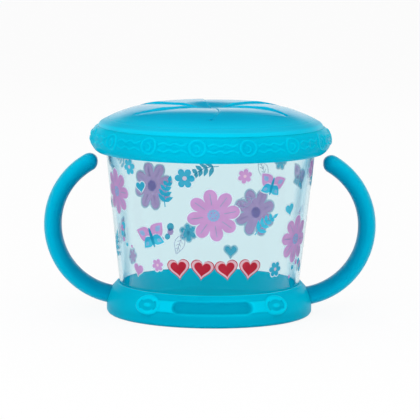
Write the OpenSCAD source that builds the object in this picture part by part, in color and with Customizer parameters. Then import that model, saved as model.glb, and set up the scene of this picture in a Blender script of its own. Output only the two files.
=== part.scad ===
// Toddler snack container: a clear tapered cup held in a handled base, closed by a
// push-on lid whose soft top is slit into flaps that a small hand pushes through.
// Millimetres. +Z is up, the origin is on the table under the middle of the base,
// and the two handles lie along X.

/* [Cup] */
// Height of the cup's rim above the table
cup_height = 81.3; // [76:0.1:90]
// Outside radius of the cup at its foot
cup_foot_r = 38.5; // [37.5:0.1:39.5]
// Draft of the cup's wall, in degrees from upright
cup_draft = 6.3; // [5.9:0.1:6.7]
// Thickness of the cup's wall
cup_wall = 1.6; // [1.2:0.1:2]
// Thickness of the cup's floor
cup_floor = 1.8; // [1.2:0.1:3]
// Radius of the rolled bead round the cup's rim
rim_bead_r = 1.3; // [1:0.1:1.6]

/* [Base] */
// Height of the lip that holds the cup
base_height = 13.8; // [12:0.1:17]
// How far the skirt stands out past the cup's foot
base_spread = 6.8; // [6:0.1:8.5]
// Thickness of the skirt
base_wall = 1.6; // [1.3:0.1:1.8]
// Thickness of the floor under the cup
base_floor = 1.5; // [1.2:0.1:2.2]
// How far the floor stands clear of the table
base_recess = 1.6; // [1:0.1:2.5]
// Number of ribs between the skirt and the wall that holds the cup
base_ribs = 12; // [8:4:16]
// Length of the shallow hollow in the front of the skirt
panel_length = 33; // [26:1:36]
// Radius of the raised rings at either end of that hollow
badge_r = 4.1; // [3.4:0.1:4.3]

/* [Handles] */
// Distance from the middle of the cup to the outermost point of a handle
handle_reach = 73.2; // [71:0.1:78]
// Height of that outermost point
handle_height = 39.1; // [37:0.1:41]
// Radius of the arc that a handle's middle line follows
handle_arc_r = 31.7; // [30.5:0.1:33]
// How far a handle runs round its arc above that point, in degrees
handle_tip_angle = 60; // [45:1:63]
// Thickness of a handle, seen from the front
handle_thick = 7.8; // [6:0.1:8.5]
// Width of a handle, from front to back
handle_width = 13; // [10:0.5:16]

/* [Lid ring] */
// How far the ring's skirt bulges out past the cup's rim
skirt_bulge = 4.7; // [4.2:0.1:6.5]
// Radius to which the ring's skirt bulges, seen in section
skirt_round = 6.6; // [6.3:0.1:7.2]
// Depth of the skirt below the ring's flange
skirt_depth = 9.7; // [9:0.1:10.5]
// Thickness of the skirt
skirt_wall = 1.7; // [1.3:0.1:2]
// Thickness of the flange that the soft top sits on
flange_thick = 1.7; // [1.5:0.1:2.2]
// Depth of the plug inside the cup's rim
plug_depth = 5; // [3.5:0.1:7]
// Number of snap lugs inside the skirt
lug_count = 8; // [4:1:10]

/* [Soft top] */
// Height of the crest above the ring's flange
dome_rise = 9.4; // [7:0.1:11]
// Radius of the crest, where the dome turns down into its dish
crest_r = 20; // [17:0.5:23]
// Depth of the dish in the middle
dish_depth = 1; // [0.6:0.1:2.4]
// Thickness of the soft top and its flaps
soft_wall = 1.4; // [1.1:0.1:1.7]
// Number of flaps
flap_count = 6; // [5:1:8]
// Distance from the middle to the outer end of a slit
slit_r = 38; // [33:0.5:39]
// Width of a slit
slit_gap = 0.5; // [0.4:0.1:0.8]
// How far a slit bows sideways, in degrees round the lid
slit_bow = 9; // [0:1:10]

/* [Hidden] */
$fn = 96;
teal = "#10b6d4";
deep_teal = "#0aa2c6";
clear = "#d3eef4";

// Clearances.
cup_fit = 0.15;             // cup to the wall that holds it
rim_gap = 0.2;              // cup's rim to the lid's flange
plug_fit = 0.2;             // lid's plug to the cup's bore
lug_fit = 0.15;             // snap lugs to the rim bead
key_fit = 0.1;              // soft top's key to its groove in the ring
hinge_gap = 0.3;            // a flap's rolled root to the edge beside it
merge = 0.3;                // how far joined shapes of one piece run into each other

// Heights and radii that several pieces share.
seat_z = base_recess + base_floor;            // where the cup stands
bead_z = cup_height - rim_bead_r;             // middle of the rim bead
flange_bottom = cup_height + rim_gap;
flange_top = flange_bottom + flange_thick;
crest_z = flange_top + dome_rise;

function cup_r(z) = cup_foot_r + (z - seat_z) * tan(cup_draft);
function bore_r(z) = cup_r(z) - cup_wall / cos(cup_draft);
function steps(from, to, n) = [for (i = [0:n]) from + (to - from) * i / n];
function arc(centre, r, from, to, n = 8) =
    [for (a = steps(from, to, n)) centre + r * [cos(a), sin(a)]];

// ---------------------------------------------------------------- cup

foot_round = 3;             // outside corner at the cup's foot
foot_land = 5;              // width of the ring that the cup stands on
foot_hollow = 0.6;          // how far the cup's underside rises inside that ring
rim_drop = 0.4;             // inner edge of the rim below the top of the bead
clip_r = 0.5;               // rib that clips the cup into its base
clip_z = seat_z + 5.2;

module ring_bead(z, r) {
    rotate_extrude() translate([cup_r(z), z]) circle(r);
}

module cup() color(clear) {
    outer = [cup_r(seat_z + foot_round) - foot_round, seat_z + foot_round];
    inner_round = foot_round - cup_wall;
    floor_top = seat_z + cup_floor;
    rim = cup_height - rim_drop;
    union() {
        rotate_extrude() polygon(concat(
            [[0, seat_z + foot_hollow], [cup_foot_r - foot_land - foot_hollow, seat_z + foot_hollow],
             [cup_foot_r - foot_land, seat_z]],
            arc(outer, foot_round, -90, -cup_draft, 6),
            [[cup_r(rim), rim], [bore_r(rim), rim]],
            arc([outer[0], floor_top + inner_round], inner_round, -cup_draft, -90, 4),
            [[0, floor_top]]));
        difference() {
            ring_bead(bead_z, rim_bead_r);
            rotate_extrude() polygon([[0, 0], [bore_r(0) + merge, 0],
                [bore_r(cup_height) + merge, cup_height], [0, cup_height]]);
        }
        difference() {
            ring_bead(clip_z, clip_r);
            cylinder(r = cup_r(clip_z) - cup_wall / 2, h = cup_height);
        }
    }
}

// ---------------------------------------------------------------- base

base_r = cup_foot_r + base_spread;            // greatest radius of the skirt
base_toe = 2;               // rounding of the skirt where it meets the table
foot_ring = 1;              // width of the ring that the base stands on
knee_z = 4.6;               // height at which the skirt starts to close in on the cup
lip_width = 1.5;            // width of the lip round the cup
holder_wall = 1.4;          // wall that holds the cup, under the lip
rib_thick = 1.2;
skirt_top = [cup_r(base_height) + cup_fit + lip_width, base_height - 0.5];
skirt_in = base_r - skirt_top[0];             // how far the skirt closes in
skirt_up = skirt_top[1] - knee_z;             // and over what height
skirt_arc_r = (skirt_in * skirt_in + skirt_up * skirt_up) / (2 * skirt_in);

// Half the section of everything inside the skirt's outside, drawn in by a distance.
module skirt_section(inset = 0) {
    top = skirt_top[1];
    arc_middle = base_r - skirt_arc_r;
    translate([0, inset]) square([base_r - base_toe, knee_z - inset]);
    translate([0, base_toe]) square([base_r - inset, knee_z - base_toe]);
    translate([base_r - base_toe, base_toe]) circle(base_toe - inset);
    square([arc_middle, top]);
    intersection() {
        translate([arc_middle, knee_z]) circle(skirt_arc_r - inset);
        translate([0, knee_z]) square([base_r + merge - inset, top - knee_z]);
    }
}

// The moulded-out space between the skirt and the wall that holds the cup.
module hollow_ring(grow = 0, bottom = 0) {
    roof = base_height - 2 * base_wall + grow;
    holder_foot = cup_foot_r + cup_fit + holder_wall - grow;
    holder_top = cup_r(base_height) + cup_fit + holder_wall - grow;
    rotate_extrude() intersection() {
        union() {
            skirt_section(base_wall - grow);
            translate([0, bottom]) square([base_r - base_toe - foot_ring, knee_z - bottom]);
        }
        polygon([[holder_foot, bottom], [base_r, bottom], [base_r, roof], [holder_top, roof]]);
    }
}

panel_z = 8.8;              // height of the relief on the front of the skirt
panel_height = 5;
panel_depth = 0.5;
relief = 0.45;              // how far the rings and bars stand out
relief_line = 1;            // width of a raised ring
bar_length = 5;             // between a ring and the end of the hollow
badge_x = panel_length / 2 + bar_length + badge_r;

// Pushes a flat shape, drawn in X and Z, through the front of the skirt.
module front_stamp() {
    rotate([90, 0, 0]) linear_extrude(base_r + 1) translate([0, panel_z]) children();
}

module panel_shape() {
    square([panel_length - panel_height, panel_height], center = true);
    for (side = [-1, 1]) translate([side * (panel_length - panel_height) / 2, 0])
        circle(panel_height / 2);
}

// Raised rings, each joined by a bar to the hollow between them.
module relief_shape() {
    difference() {
        union() {
            square([2 * badge_x, panel_height - 1.4], center = true);
            for (side = [-1, 1]) translate([side * badge_x, 0]) circle(badge_r);
        }
        for (side = [-1, 1]) translate([side * badge_x, 0]) circle(badge_r - relief_line);
        panel_shape();
    }
}

module base() color(teal) {
    union() {
        difference() {
            rotate_extrude() difference() {
                union() {
                    skirt_section();
                    square([skirt_top[0] - 0.4, base_height]);
                }
                // seat for the cup
                polygon([[0, seat_z], [cup_foot_r + cup_fit, seat_z],
                    [cup_r(base_height - 0.5) + cup_fit, base_height - 0.5],
                    [cup_r(base_height) + cup_fit + 0.4, base_height + 1], [0, base_height + 1]]);
                // space under the floor
                translate([0, -1]) square([cup_foot_r + cup_fit + holder_wall, base_recess + 1]);
            }
            hollow_ring(0, -1);
            ring_bead(clip_z, clip_r + cup_fit);
            difference() {
                front_stamp() panel_shape();
                rotate_extrude() skirt_section(panel_depth);
            }
        }
        intersection() {
            hollow_ring(merge, base_recess);
            for (i = [0:base_ribs - 1]) rotate([0, 0, (i + 0.5) * 360 / base_ribs])
                translate([0, -rib_thick / 2, 0]) cube([base_r, rib_thick, base_height]);
        }
        intersection() {
            difference() {
                rotate_extrude() skirt_section(-relief);
                rotate_extrude() skirt_section(merge);
            }
            front_stamp() relief_shape();
        }
    }
}

// ---------------------------------------------------------------- handles

root_angle = 84;            // how far the arc runs below level, into the skirt

module bar_section() {
    flat = handle_width - handle_thick;
    square([handle_thick, flat], center = true);
    for (side = [-1, 1]) translate([0, side * flat / 2]) circle(handle_thick / 2);
}

// Half the section turned about its own long axis, which rounds off the tip.
module bar_tip() {
    rotate_extrude(angle = 180) intersection() {
        bar_section();
        translate([0, -handle_width]) square([handle_thick, 2 * handle_width]);
    }
}

module handle() color(deep_teal) {
    difference() {
        translate([handle_reach - handle_thick / 2 - handle_arc_r, 0, handle_height])
            rotate([90, -handle_tip_angle, 0]) union() {
                rotate_extrude(angle = -(handle_tip_angle + root_angle))
                    translate([handle_arc_r, 0]) bar_section();
                translate([handle_arc_r, 0]) bar_tip();
            }
        rotate_extrude() skirt_section();
    }
}

module handle_right() handle();
module handle_left() mirror([1, 0, 0]) handle();

// ---------------------------------------------------------------- lid ring

lip_z = flange_bottom - skirt_depth;
lid_r = cup_r(bead_z) + rim_bead_r + skirt_bulge;
skirt_mid = [lid_r - skirt_round, (lip_z + flange_top) / 2];
foot_r = skirt_mid[0] + sqrt(pow(skirt_round, 2) - pow(flange_top - skirt_mid[1], 2)) - 0.2;
lug_r = cup_r(bead_z) + rim_bead_r + lug_fit;  // clears the rim bead as the lid comes off
plug_wall = 1.4;
lug_angle = 14;
lug_height = 3;
key_r = bore_r(cup_height) + 1.4;             // middle of the soft top's key
key_width = 1;
key_depth = 0.9;

module lid_ring() color(teal) {
    plug_r = bore_r(flange_bottom) - plug_fit;
    plug_bottom = flange_bottom - plug_depth;
    union() {
        rotate_extrude() difference() {
            union() {
                intersection() {
                    difference() {
                        translate(skirt_mid) circle(skirt_round);
                        translate(skirt_mid) circle(skirt_round - skirt_wall);
                    }
                    union() {
                        translate([lug_r, lip_z]) square([skirt_round, flange_top - lip_z]);
                        translate(skirt_mid) square([skirt_round, flange_top - skirt_mid[1]]);
                    }
                }
                polygon([[plug_r - plug_wall, plug_bottom], [bore_r(plug_bottom) - plug_fit, plug_bottom],
                    [plug_r, flange_bottom], [foot_r, flange_bottom],
                    [foot_r, flange_top], [plug_r - plug_wall, flange_top]]);
            }
            translate([key_r - key_width / 2 - key_fit, flange_top - key_depth - key_fit])
                square([key_width + 2 * key_fit, key_depth + 1]);
        }
        for (i = [0:lug_count - 1]) rotate([0, 0, i * 360 / lug_count - lug_angle / 2])
            rotate_extrude(angle = lug_angle) polygon([
                [lug_r, skirt_mid[1] - lug_height / 2 + 1], [lug_r, skirt_mid[1] + lug_height / 2 - 1],
                [lid_r - skirt_wall + merge, skirt_mid[1] + lug_height / 2],
                [lid_r - skirt_wall + merge, skirt_mid[1] - lug_height / 2]]);
    }
}

// ---------------------------------------------------------------- soft top and flaps

foot_step = 0.9;                              // height of the dome's outer edge
foot_inner_r = bore_r(flange_bottom) - plug_fit - plug_wall;
foot_rise = dome_rise - foot_step;
dome_run = foot_r - crest_r;
dome_arc_r = (dome_run * dome_run + foot_rise * foot_rise) / (2 * foot_rise);

// Height of the upper surface at a distance r from the middle.
function dome_z(r) = r < crest_r
    ? crest_z - dish_depth * (1 + cos(180 * r / crest_r)) / 2
    : crest_z - dome_arc_r + sqrt(pow(dome_arc_r, 2) - pow(r - crest_r, 2));

module dome_shell() {
    radii = concat(steps(0, crest_r, 10), [for (r = steps(crest_r, foot_inner_r, 10)) if (r > crest_r) r]);
    rotate_extrude() polygon(concat(
        [for (r = radii) [r, dome_z(r)]],
        [for (i = [len(radii) - 1:-1:0]) [radii[i], dome_z(radii[i]) - soft_wall]]));
}

// Hinge line of a flap: a chord between the outer ends of two slits.
half_angle = 180 / flap_count;
hinge_r = slit_r * cos(half_angle);
hinge_half = slit_r * sin(half_angle);
bead_r = soft_wall / 2 + 0.2;                 // rolled root that a flap bends about
hinge_z = dome_z((hinge_r + slit_r) / 2) - soft_wall / 2;
relief_r = 1.7;                               // round end of a slit
centre_hole_r = 1.2;

module soft_top() color(teal) {
    difference() {
        union() {
            dome_shell();
            rotate_extrude() polygon(concat(
                [[foot_inner_r, flange_top], [foot_r, flange_top]],
                [for (r = steps(foot_r, foot_inner_r, 5)) [r, dome_z(r)]]));
            rotate_extrude() translate([key_r - key_width / 2, flange_top - key_depth])
                square([key_width, key_depth + merge]);
        }
        rotate([0, 0, -90]) translate([0, 0, lip_z]) linear_extrude(crest_z)
            circle((hinge_r + bead_r + hinge_gap) / cos(half_angle), $fn = flap_count);
    }
}

// One edge of a slit, from the middle outwards, half a gap to one side of its line.
function slit_edge(side) = [for (r = steps(centre_hole_r, slit_r, 12))
    let (a = side * half_angle + slit_bow * sin(180 * r / slit_r))
    [r * cos(a), r * sin(a)] - side * slit_gap / 2 * [-sin(a), cos(a)]];

module flap(number) color(teal) {
    rotate([0, 0, (2 * number - 1) * half_angle - 90]) union() {
        intersection() {
            dome_shell();
            translate([0, 0, lip_z]) linear_extrude(crest_z) difference() {
                polygon(concat(slit_edge(-1), [for (i = [12:-1:0]) slit_edge(1)[i]]));
                translate([hinge_r, -slit_r]) square([slit_r, 2 * slit_r]);
                for (side = [-1, 1]) translate([hinge_r, side * hinge_half]) circle(relief_r);
            }
        }
        translate([hinge_r, 0, hinge_z]) rotate([90, 0, 0])
            cylinder(r = bead_r, h = 2 * (hinge_half - relief_r), center = true);
    }
}

cup();
base();
handle_left();
handle_right();
lid_ring();
soft_top();
for (i = [1:flap_count]) flap(i);
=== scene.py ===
"""The looks of a toddler snack container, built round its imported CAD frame.

Everything is in metres. +Z is up, the front faces -Y and the handles lie along X.
"""

import math

import bmesh
import bpy
from mathutils import Matrix, Vector


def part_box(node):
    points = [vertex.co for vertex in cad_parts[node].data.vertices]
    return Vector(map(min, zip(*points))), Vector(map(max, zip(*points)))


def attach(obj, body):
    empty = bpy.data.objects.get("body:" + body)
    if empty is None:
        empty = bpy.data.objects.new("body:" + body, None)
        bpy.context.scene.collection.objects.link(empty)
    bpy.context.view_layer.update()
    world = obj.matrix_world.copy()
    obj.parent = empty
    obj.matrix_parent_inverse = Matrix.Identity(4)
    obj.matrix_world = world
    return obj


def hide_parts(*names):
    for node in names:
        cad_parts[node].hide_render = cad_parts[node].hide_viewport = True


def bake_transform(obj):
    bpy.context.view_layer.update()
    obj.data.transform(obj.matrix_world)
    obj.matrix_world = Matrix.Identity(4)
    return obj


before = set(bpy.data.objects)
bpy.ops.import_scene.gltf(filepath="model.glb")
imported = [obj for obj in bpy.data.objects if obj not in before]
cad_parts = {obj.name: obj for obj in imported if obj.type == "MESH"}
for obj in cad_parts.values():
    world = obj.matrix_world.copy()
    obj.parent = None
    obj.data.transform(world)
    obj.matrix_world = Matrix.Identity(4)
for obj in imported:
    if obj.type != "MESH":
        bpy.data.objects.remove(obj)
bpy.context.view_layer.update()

MM = 0.001
TAU = 2 * math.pi


# ---- sizes

cup_low, cup_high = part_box("cup")
base_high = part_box("base")[1]
ring_low, ring_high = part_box("lid_ring")
handle_low, handle_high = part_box("handle_right")
flap_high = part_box("flap_1")[1]

CUP_DRAFT = math.radians(6.3)
CUP_WALL = 1.6 * MM
CUP_FLOOR = 1.8 * MM
RIM_BEAD = 1.3 * MM  # radius of the bead round the rim
FOOT_ROUND = 3 * MM
FOOT_LAND = 5 * MM  # width of the ring that the cup stands on
FOOT_HOLLOW = 0.6 * MM  # how far the cup's underside rises inside it
CUP_FOOT_Z = cup_low[2]
CUP_RIM_Z = cup_high[2]
CUP_FOOT_R = cup_high[0] - RIM_BEAD - (CUP_RIM_Z - RIM_BEAD - CUP_FOOT_Z) * math.tan(CUP_DRAFT)

BASE_R = base_high[0]
BASE_TOP = base_high[2]
BASE_WALL = 1.6 * MM
BASE_RECESS = 1.6 * MM  # from the table to the underside of the base's floor
BASE_TOE = 2 * MM
FOOT_RING = 1 * MM  # width of the ring that the base stands on
HOLDER_WALL = 1.4 * MM
CUP_FIT = 0.15 * MM
LIP_WIDTH = 1.5 * MM
LIP_DROP = 0.5 * MM  # from the lip's top to where the base's side begins
KNEE_Z = 4.6 * MM  # where the base's side begins to lean in

HANDLE_THICK = 7.8 * MM
HANDLE_WIDTH = handle_high[1] - handle_low[1]
HANDLE_ARC_R = 31.7 * MM
HANDLE_Z = 39.1 * MM
HANDLE_X = handle_high[0] - HANDLE_THICK / 2 - HANDLE_ARC_R
HANDLE_SQUARE = 2.3  # 2 is an ellipse
HANDLE_TIP = math.radians(60)
HANDLE_ROOT = math.radians(84)

LID_R = ring_high[0]
LIP_Z = ring_low[2]
FLANGE_Z = ring_high[2]
SKIRT_ROUND = 6.6 * MM  # radius of the skirt's bulge
SKIRT_WALL = 1.7 * MM
SKIRT_MID_R = LID_R - SKIRT_ROUND
SKIRT_MID_Z = (LIP_Z + FLANGE_Z) / 2
PLUG_WALL = 1.4 * MM
PLUG_FIT = 0.2 * MM
PLUG_DEPTH = 5 * MM
FLANGE_THICK = 1.7 * MM
SEAM = 0.05 * MM  # between the soft top's foot and the ring

CREST_Z = flap_high[2]
CREST_R = 20 * MM  # inside it the dome dips to its middle
DISH = 1 * MM
SOFT_WALL = 1.4 * MM
FOOT_STEP = 0.9 * MM
FOOT_R = SKIRT_MID_R + math.sqrt(SKIRT_ROUND ** 2 - (FLANGE_Z - SKIRT_MID_Z) ** 2) - SEAM
DOME_RUN = FOOT_R - CREST_R
DOME_FALL = CREST_Z - FLANGE_Z - FOOT_STEP
DOME_ARC = (DOME_RUN ** 2 + DOME_FALL ** 2) / (2 * DOME_FALL)

FLAPS = sorted(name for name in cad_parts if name.startswith("flap_"))
HALF_ANGLE = math.pi / len(FLAPS)
SLIT_R = 38 * MM
SLIT_BOW = math.radians(9)
HINGE_R = SLIT_R * math.cos(HALF_ANGLE)


def cup_r(z):
    """Outside radius of the cup's wall at a height."""
    return CUP_FOOT_R + (z - CUP_FOOT_Z) * math.tan(CUP_DRAFT)


LIP_R = cup_r(BASE_TOP) + CUP_FIT + LIP_WIDTH
SIDE_RISE = BASE_TOP - LIP_DROP - KNEE_Z
SIDE_ARC = ((BASE_R - LIP_R) ** 2 + SIDE_RISE ** 2) / (2 * (BASE_R - LIP_R))
SIDE_MIDDLE = (BASE_R - SIDE_ARC, KNEE_Z)


def bore_r(z):
    """Inside radius of the cup's wall at a height."""
    return cup_r(z) - CUP_WALL / math.cos(CUP_DRAFT)


def dome_z(r):
    """Height of the soft top's upper surface at a distance from the middle."""
    if r < CREST_R:
        return CREST_Z - DISH * (1 + math.cos(math.pi * r / CREST_R)) / 2
    return CREST_Z - DOME_ARC + math.sqrt(DOME_ARC ** 2 - (r - CREST_R) ** 2)


# ---- mesh helpers

CREASE = math.radians(40)  # an edge that bends more is drawn sharp
CORNER_STEPS = 5  # faces round a rounded corner
SAME_SPOT = 1e-6  # points closer than this are one point
ON_AXIS = 1e-9


def add_mesh(name, verts, faces, material):
    """A smooth-shaded mesh object with sharp creases."""
    mesh = bpy.data.meshes.new(name)
    mesh.from_pydata([tuple(v) for v in verts], [], faces)
    mesh.polygons.foreach_set("use_smooth", [True] * len(mesh.polygons))
    mesh.set_sharp_from_angle(angle=CREASE)
    mesh.materials.append(material)
    obj = bpy.data.objects.new(name, mesh)
    bpy.context.collection.objects.link(obj)
    return obj


def weld(obj):
    """Joins points that lie on each other and turns all faces outwards."""
    mesh = bmesh.new()
    mesh.from_mesh(obj.data)
    bmesh.ops.remove_doubles(mesh, verts=mesh.verts, dist=SAME_SPOT)
    bmesh.ops.recalc_face_normals(mesh, faces=mesh.faces)
    mesh.to_mesh(obj.data)
    mesh.free()


def arc(centre, radius, start, end, count):
    """Points (r, z) along an arc, with its angles in degrees."""
    angles = [math.radians(start + (end - start) * i / count) for i in range(count + 1)]
    return [(centre[0] + radius * math.cos(a), centre[1] + radius * math.sin(a)) for a in angles]


def rounded(corners):
    """A closed outline whose corners (r, z, radius) are rounded off."""
    outline = []
    for i, (r, z, radius) in enumerate(corners):
        here = Vector((r, z))
        if radius == 0:
            outline.append((r, z))
            continue
        before = (Vector(corners[i - 1][:2]) - here).normalized()
        after = (Vector(corners[(i + 1) % len(corners)][:2]) - here).normalized()
        half = before.angle(after) / 2
        centre = here + (before + after).normalized() * (radius / math.sin(half))
        start = here + before * (radius / math.tan(half)) - centre
        end = here + after * (radius / math.tan(half)) - centre
        for k in range(CORNER_STEPS + 1):
            spot = start.slerp(end, k / CORNER_STEPS).normalized()
            outline.append(tuple(centre + spot * radius))
    return outline


def split(outline, longest):
    """The closed outline with long sides cut into shorter ones."""
    fine = []
    for a, b in zip(outline, outline[1:] + outline[:1]):
        count = max(1, math.ceil(math.dist(a, b) / longest))
        fine += [(a[0] + (b[0] - a[0]) * k / count, a[1] + (b[1] - a[1]) * k / count)
                 for k in range(count)]
    return fine


def even_angles(count):
    """Angles spread evenly round a turn."""
    return [TAU * k / count for k in range(count)]


def lathe(name, outline, material, angles, relief=None, fine=None, coarse=4):
    """Turns a closed outline (r, z) about Z. relief(angle, r, z) moves a point outwards.

    Rows that fine(r, z) turns down have no relief and keep only one in coarse of the angles.
    """
    count, segments = len(outline), len(angles)
    verts, rows = [], []
    for i, (r, z) in enumerate(outline):
        back, ahead = outline[i - 1], outline[(i + 1) % count]
        along = Vector((ahead[0] - back[0], ahead[1] - back[1])).normalized()
        step = 1 if fine is None or fine(r, z) else coarse
        row = {}
        for k in range(0, segments, step):
            lift = relief(angles[k], r, z) if relief and step == 1 else 0
            reach = r + along.y * lift
            row[k] = len(verts)
            verts.append((reach * math.cos(angles[k]), reach * math.sin(angles[k]), z - along.x * lift))
        rows.append((step, row))
    faces = []
    for i in range(count):
        j = (i + 1) % count
        if outline[i][0] < ON_AXIS and outline[j][0] < ON_AXIS:
            continue
        (step_i, row_i), (step_j, row_j) = rows[i], rows[j]
        wide = max(step_i, step_j)
        for k in range(0, segments, wide):
            lower = [row_i[(k + m) % segments] for m in range(0, wide + 1, step_i)]
            upper = [row_j[(k + m) % segments] for m in range(0, wide + 1, step_j)]
            faces.append(tuple(lower + upper[::-1]))
    obj = add_mesh(name, verts, faces, material)
    weld(obj)
    return obj


def grid_shell(name, top, bottom, material, ring=False):
    """A closed shell from two matching grids of points, given row by row. A ring ends where it starts."""
    rows, columns = len(top), len(top[0])
    verts = [p for row in top for p in row] + [p for row in bottom for p in row]
    under = rows * columns

    def spot(i, k):
        return i * columns + k

    faces = []
    for i in range(rows - 1):
        for k in range(columns - 1):
            quad = (spot(i, k), spot(i, k + 1), spot(i + 1, k + 1), spot(i + 1, k))
            faces.append(quad)
            faces.append(tuple(under + v for v in reversed(quad)))
    rim = [spot(0, k) for k in range(columns)]
    rim += [spot(i, columns - 1) for i in range(1, rows)]
    rim += [spot(rows - 1, k) for k in range(columns - 2, -1, -1)]
    rim += [spot(i, 0) for i in range(rows - 2, 0, -1)]
    for a, b in zip(rim, rim[1:] + rim[:1]):
        if not (ring and a % columns == b % columns):
            faces.append((a, under + a, under + b, b))
    obj = add_mesh(name, verts, faces, material)
    weld(obj)
    return obj


def smooth_step(low, high, value):
    """0 below low, 1 above high and an even curve between."""
    t = min(1, max(0, (value - low) / (high - low)))
    return t * t * (3 - 2 * t)


def place(obj, body, slot, *nodes):
    """Puts a piece on its body and hides the nodes that it stands for. slot is not used."""
    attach(obj, body)
    if nodes:
        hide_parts(*nodes)


# ---- node helpers

RAMP_SCALE = 10  # spreads a distance in metres over more of a ramp


def feed(tree, socket, value):
    """Links another node's output to a socket, or sets the socket to a plain value."""
    if isinstance(value, bpy.types.NodeSocket):
        tree.links.new(value, socket)
    else:
        socket.default_value = value


def add_node(tree, kind, *values, operation=None, **named):
    """A new shader node. Its first inputs take the values in order, and others are fed by name."""
    node = tree.nodes.new("ShaderNode" + kind)
    if operation:
        node.operation = operation
    for socket, value in zip(node.inputs, values):
        feed(tree, socket, value)
    for name, value in named.items():
        feed(tree, node.inputs[name], value)
    return node


def calculate(tree, operation, *values):
    """The result of one step of arithmetic."""
    return add_node(tree, "Math", *values, operation=operation).outputs["Value"]


def object_place(tree):
    """A point's place in the object's own coordinates."""
    return add_node(tree, "TexCoord").outputs["Object"]


def axis_distance(tree, across=(1, 1, 0)):
    """A point's distance from the Z axis, or along another way."""
    kept = add_node(tree, "VectorMath", object_place(tree), across, operation="MULTIPLY")
    length = add_node(tree, "VectorMath", kept.outputs["Vector"], operation="LENGTH")
    return length.outputs["Value"]


def ramped(tree, source, stops):
    """A grey value or a colour that runs through stops (position, value)."""
    ramp = add_node(tree, "ValToRGB", source)
    elements = ramp.color_ramp.elements
    while len(elements) < len(stops):
        elements.new(0.5)
    for element, (at, value) in zip(elements, stops):
        element.position = at
        element.color = value if isinstance(value, tuple) else (value, value, value, 1)
    return ramp.outputs["Color"]


def from_axis(tree, stops, across=(1, 1, 0)):
    """A value that runs through stops (millimetres, value) out from the Z axis, or along another way."""
    away = axis_distance(tree, Vector(across) * RAMP_SCALE)
    return ramped(tree, away, [(at * MM * RAMP_SCALE, value) for at, value in stops])


def off_arc(tree, centre, radius, reach):
    """How far a point is off an arc that is turned round the Z axis: 0 to 1 for -reach to reach."""
    out = calculate(tree, "SUBTRACT", axis_distance(tree), centre[0])
    up = calculate(tree, "SUBTRACT", axis_distance(tree, (0, 0, 1)), centre[1])
    squares = calculate(tree, "MULTIPLY_ADD", up, up, calculate(tree, "MULTIPLY", out, out))
    apart = calculate(tree, "SQRT", squares)
    return calculate(tree, "MULTIPLY_ADD", apart, 0.5 / reach, 0.5 - 0.5 * radius / reach)


def noise(tree, scale):
    """A noise between 0 and 1 that stays with the object."""
    texture = add_node(tree, "TexNoise", Vector=object_place(tree), Scale=scale, Detail=3)
    return texture.outputs["Fac"]


def mixed_colour(tree, factor, first, second):
    """A colour from the first to the second, as a factor goes from 0 to 1."""
    mix = tree.nodes.new("ShaderNodeMix")
    mix.data_type = "RGBA"
    for name, value in (("Factor", factor), ("A", first), ("B", second)):
        feed(tree, mix.inputs[name], value)
    return mix.outputs["Result"]


def mixed_shader(tree, factor, first, second):
    """A shader from the first to the second, as a factor goes from 0 to 1."""
    return add_node(tree, "MixShader", factor, first, second).outputs["Shader"]


# ---- materials

def srgb(red, green, blue):
    """A linear colour from a screen colour of 0 to 255."""
    def linear(value):
        value /= 255
        return value / 12.92 if value <= 0.04045 else ((value + 0.055) / 1.055) ** 2.4
    return (linear(red), linear(green), linear(blue), 1)


INK_COVER = 0.9  # how much of what is behind it ink hides
INK_THROUGH = 0.4  # share of its light that comes from behind
# The next three colours are a painted highlight, a painted shade and a painted highlight for relief ridges.
PAINTED_HIGHLIGHT_TEAL = srgb(20, 214, 238)
PAINTED_SHADE_TEAL = srgb(0, 130, 168)
PAINTED_RIDGE_HIGHLIGHT_TEAL = srgb(0, 200, 230)
TEAL_GLOSS = srgb(60, 215, 255)
CLEAR_TINT = srgb(230, 244, 247)
CLEAR_SLANT = srgb(105, 200, 228)  # its tint where it is seen at a slant


def shader(name, **sockets):
    """A material whose Principled sockets are set by name."""
    material = bpy.data.materials.new(name)
    material.use_nodes = True
    for socket, value in sockets.items():
        principled(material.node_tree).inputs[socket.replace("_", " ")].default_value = value
    return material


def principled(tree):
    """A material's Principled shader."""
    return tree.nodes["Principled BSDF"]


def show(tree, surface):
    """Makes a shader the material's surface."""
    feed(tree, tree.nodes["Material Output"].inputs["Surface"], surface)


def mottle(tree, low, high, scale):
    """Lets the base colour drift gently between two colours."""
    drift = ramped(tree, noise(tree, scale), ((0.35, low), (0.65, high)))
    feed(tree, principled(tree).inputs["Base Color"], drift)


def grain(tree, scale, height):
    """A faint bump, as a moulded surface has."""
    bump = add_node(tree, "Bump", Strength=1, Distance=height, Height=noise(tree, scale))
    feed(tree, principled(tree).inputs["Normal"], bump.outputs["Normal"])


def blend_colour(tree, factor, colour):
    """Mixes a colour into the base colour by a factor of 0 to 1."""
    base = principled(tree).inputs["Base Color"]
    feed(tree, base, mixed_colour(tree, factor, base.links[0].from_socket, colour))


def painted_edge_light_and_shade(tree, share, where=None):
    """Paints highlights on ridges and shade in hollows, a little, by a share that where may scale."""
    bend = add_node(tree, "NewGeometry").outputs["Pointiness"]
    ridges = (0.505, 0), (0.56, share)
    hollows = (0.44, share), (0.495, 0)
    for stops, colour in ((ridges, PAINTED_HIGHLIGHT_TEAL), (hollows, PAINTED_SHADE_TEAL)):
        factor = ramped(tree, bend, stops)
        if where is not None:
            factor = calculate(tree, "MULTIPLY", factor, where)
        blend_colour(tree, factor, colour)


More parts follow.
